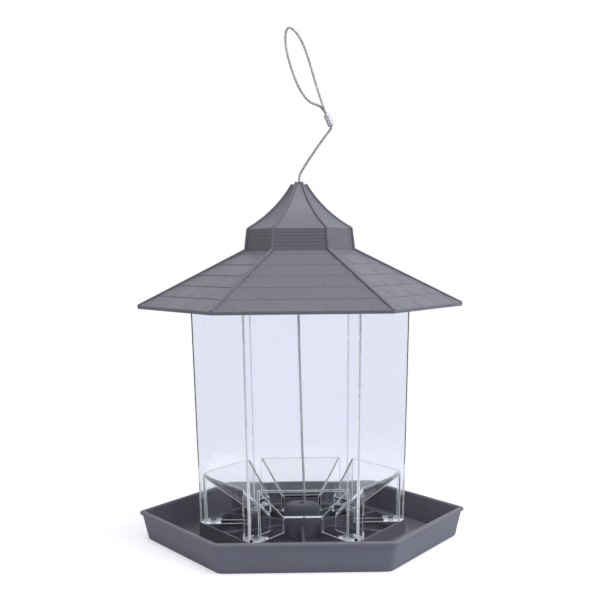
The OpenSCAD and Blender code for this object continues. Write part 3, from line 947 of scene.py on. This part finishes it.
def backdrop_world(stage):
    """Pale backdrop: bright behind the feeder, softer all round as a light."""
    world = bpy.data.worlds.new("pale_backdrop")
    bpy.context.scene.world = world
    world.use_nodes = True
    tree = world.node_tree
    tree.nodes.clear()
    ray = node(tree, "ShaderNodeLightPath")
    way = node(tree, "ShaderNodeSeparateXYZ",
               {"Vector": node(tree, "ShaderNodeTexCoord").outputs["Generated"]})
    behind = node(tree, "ShaderNodeMapRange", {
        "Value": way.outputs["Y"], "From Min": 0.3, "From Max": 0.85},
        interpolation_type="SMOOTHSTEP").outputs["Result"]
    low = node(tree, "ShaderNodeMapRange", {
        "Value": way.outputs["Z"], "From Min": 0.4, "From Max": 0.75, "To Min": 1, "To Max": 0},
        interpolation_type="SMOOTHSTEP").outputs["Result"]
    around = node(tree, "ShaderNodeMix", {
        "Factor": ray.outputs["Is Transmission Ray"], "A": stage.ambient,
        "B": stage.clear_ambient}).outputs["Result"]
    cyclorama = node(tree, "ShaderNodeMix", {
        "Factor": math_node(tree, "MULTIPLY", behind, low), "A": around,
        "B": stage.cyclorama}).outputs["Result"]
    level = node(tree, "ShaderNodeMix", {
        "Factor": ray.outputs["Is Camera Ray"], "A": cyclorama,
        "B": stage.backdrop}).outputs["Result"]
    hue = node(tree, "ShaderNodeMix", {"Factor": ray.outputs["Is Transmission Ray"]},
               data_type="RGBA")
    hue.inputs["A"].default_value = (1, 1, 1, 1)
    hue.inputs["B"].default_value = (*stage.behind_clear, 1)
    background = node(tree, "ShaderNodeBackground",
                      {"Color": hue.outputs["Result"], "Strength": level})
    output = tree.nodes.new("ShaderNodeOutputWorld")
    tree.links.new(background.outputs["Background"], output.inputs["Surface"])


def soft_light(name, place, size, power, target):
    """Area light of (width, height), turned to its target."""
    data = bpy.data.lights.new(name, "AREA")
    data.shape = "RECTANGLE"
    data.size, data.size_y = size
    data.energy = power
    lamp = link(name, data)
    lamp.location = place
    lamp.rotation_euler = (Vector(target) - Vector(place)).to_track_quat("-Z", "Y").to_euler()
    return lamp


def pale_floor(radius):
    """Round matt floor that fades into the backdrop towards its rim."""
    bm = bmesh.new()
    bmesh.ops.create_circle(bm, cap_ends=True, segments=96, radius=radius)
    mesh = bpy.data.meshes.new("floor")
    bm.to_mesh(mesh)
    bm.free()
    material, tree, shader = new_material("pale_floor")
    shader.inputs["Base Color"].default_value = (0.67, 0.69, 0.78, 1)
    shader.inputs["Emission Color"].default_value = (1, 1, 1, 1)
    ray = node(tree, "ShaderNodeLightPath")
    through = math_node(tree, "MULTIPLY_ADD", ray.outputs["Is Transmission Ray"], 0.2, 0.12)
    glow = math_node(tree, "MULTIPLY_ADD", ray.outputs["Is Camera Ray"], 0.45, through)
    tree.links.new(glow, shader.inputs["Emission Strength"])
    shader.inputs["Roughness"].default_value = 0.9
    shader.inputs["Specular IOR Level"].default_value = 0.1
    place = node(tree, "ShaderNodeTexCoord").outputs["Object"]
    out = node(tree, "ShaderNodeVectorMath", {0: place}, operation="LENGTH").outputs["Value"]
    fade = node(tree, "ShaderNodeMapRange", {
        "Value": out, "From Min": 0.45 * radius, "From Max": 0.98 * radius, "To Min": 1,
        "To Max": 0}, interpolation_type="SMOOTHSTEP").outputs["Result"]
    tree.links.new(fade, shader.inputs["Alpha"])
    mesh.materials.append(material)
    return link("floor", mesh)


class FEEDER_OT_stage(bpy.types.Operator):
    """Makes the camera, the floor, the backdrop and the soft lights"""
    bl_idname = "feeder.stage"
    bl_label = "Camera and stage"

    def execute(self, context):
        stage = context.scene.feeder_stage
        data = bpy.data.cameras.new("camera")
        data.sensor_width = 36
        data.lens = stage.lens
        data.clip_start, data.clip_end = 0.01, 50
        camera = link("camera", data)
        level = Matrix.Rotation(math.pi / 2, 4, "X")
        camera.matrix_world = (
            Matrix.Translation(stage.camera_place)
            @ Matrix.Rotation(-stage.camera_turn, 4, "Z")
            @ Matrix.Rotation(-stage.camera_tilt, 4, "X") @ level
            @ Matrix.Rotation(-stage.camera_roll, 4, "Z"))
        context.scene.camera = camera

        floor = pale_floor(stage.floor_radius)

        backdrop_world(stage)
        aim = (0, 0, 0.12)
        soft_light("overhead", (0.2, -0.4, 1.3), (1.0, 1.0), stage.key_power, aim)
        soft_light("right", (1.2, 0.1, 0.6), (0.7, 0.7), stage.side_power, aim)
        for name, side in (("strip_left", -1), ("strip_right", 1)):
            strip_lamp = soft_light(name, (side * 0.85, -0.8, 0.45), (0.14, 0.9),
                                    stage.strip_power, aim)
            strip_lamp.visible_diffuse = False
        context.scene.view_settings.view_transform = "Standard"
        return {"FINISHED"}


# ---------------------------------------------------------------------------------------
# Add-on
# ---------------------------------------------------------------------------------------

OPERATORS = (FEEDER_OT_stage, FEEDER_OT_fittings, FEEDER_OT_rope, FEEDER_OT_tray,
             FEEDER_OT_hopper, FEEDER_OT_roof)
SETTINGS = {
    "feeder_roof": FeederRoofSettings,
    "feeder_rope": FeederRopeSettings,
    "feeder_finish": FeederFinishSettings,
    "feeder_stage": FeederStageSettings,
}


class FEEDER_PT_panel(bpy.types.Panel):
    """Sidebar panel that lists the feeder's pieces and settings"""
    bl_idname = "FEEDER_PT_panel"
    bl_label = "Seed feeder"
    bl_space_type = "VIEW_3D"
    bl_region_type = "UI"
    bl_category = "Feeder"

    def draw(self, context):
        for operator in OPERATORS:
            self.layout.operator(operator.bl_idname)
        for name, group in SETTINGS.items():
            box = self.layout.box()
            for key in group.__annotations__:
                box.prop(getattr(context.scene, name), key)


def register():
    for cls in (*SETTINGS.values(), *OPERATORS, FEEDER_PT_panel):
        bpy.utils.register_class(cls)
    for name, group in SETTINGS.items():
        setattr(bpy.types.Scene, name, PointerProperty(type=group))


def unregister():
    for name in SETTINGS:
        delattr(bpy.types.Scene, name)
    for cls in reversed((*SETTINGS.values(), *OPERATORS, FEEDER_PT_panel)):
        bpy.utils.unregister_class(cls)


def main():
    """Builds everything in order."""
    register()
    for operator in OPERATORS:
        group, name = operator.bl_idname.split(".")
        getattr(getattr(bpy.ops, group), name)()


if __name__ == "__main__":
    main()
